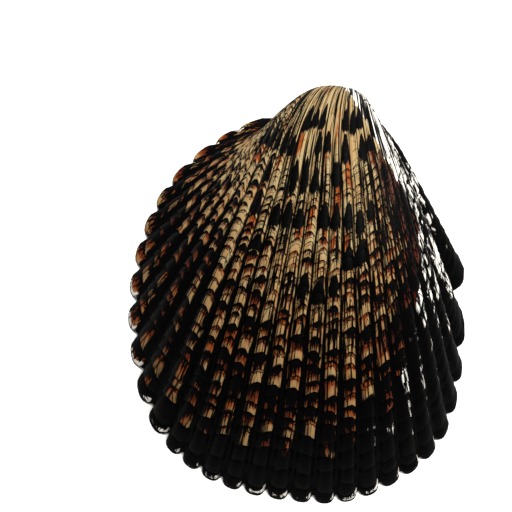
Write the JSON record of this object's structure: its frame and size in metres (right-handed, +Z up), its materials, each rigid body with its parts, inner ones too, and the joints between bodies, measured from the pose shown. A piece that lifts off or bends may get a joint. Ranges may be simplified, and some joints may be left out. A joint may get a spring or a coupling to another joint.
{
  "type": "cockle shell",
  "caption": "Ribbed bivalve shell half: a hollow dome with scaly radial ribs, a coiled beak and a toothed hinge plate, lying on its rim.",
  "frame": {"origin": "under the middle of the bounding box, on the plane the rim rests on", "axes": "+Y towards the beak and hinge, +X towards the steep posterior side, +Z up through the outside of the dome"},
  "size_m": [0.0532, 0.0656, 0.0212],
  "materials": {
    "shell": "natural aragonite shell, satin, tan ground with rust and near-black brown blotches"
  },
  "bodies": {
    "root": {"cockle_valve": "shell"}
  },
  "joints": []
}
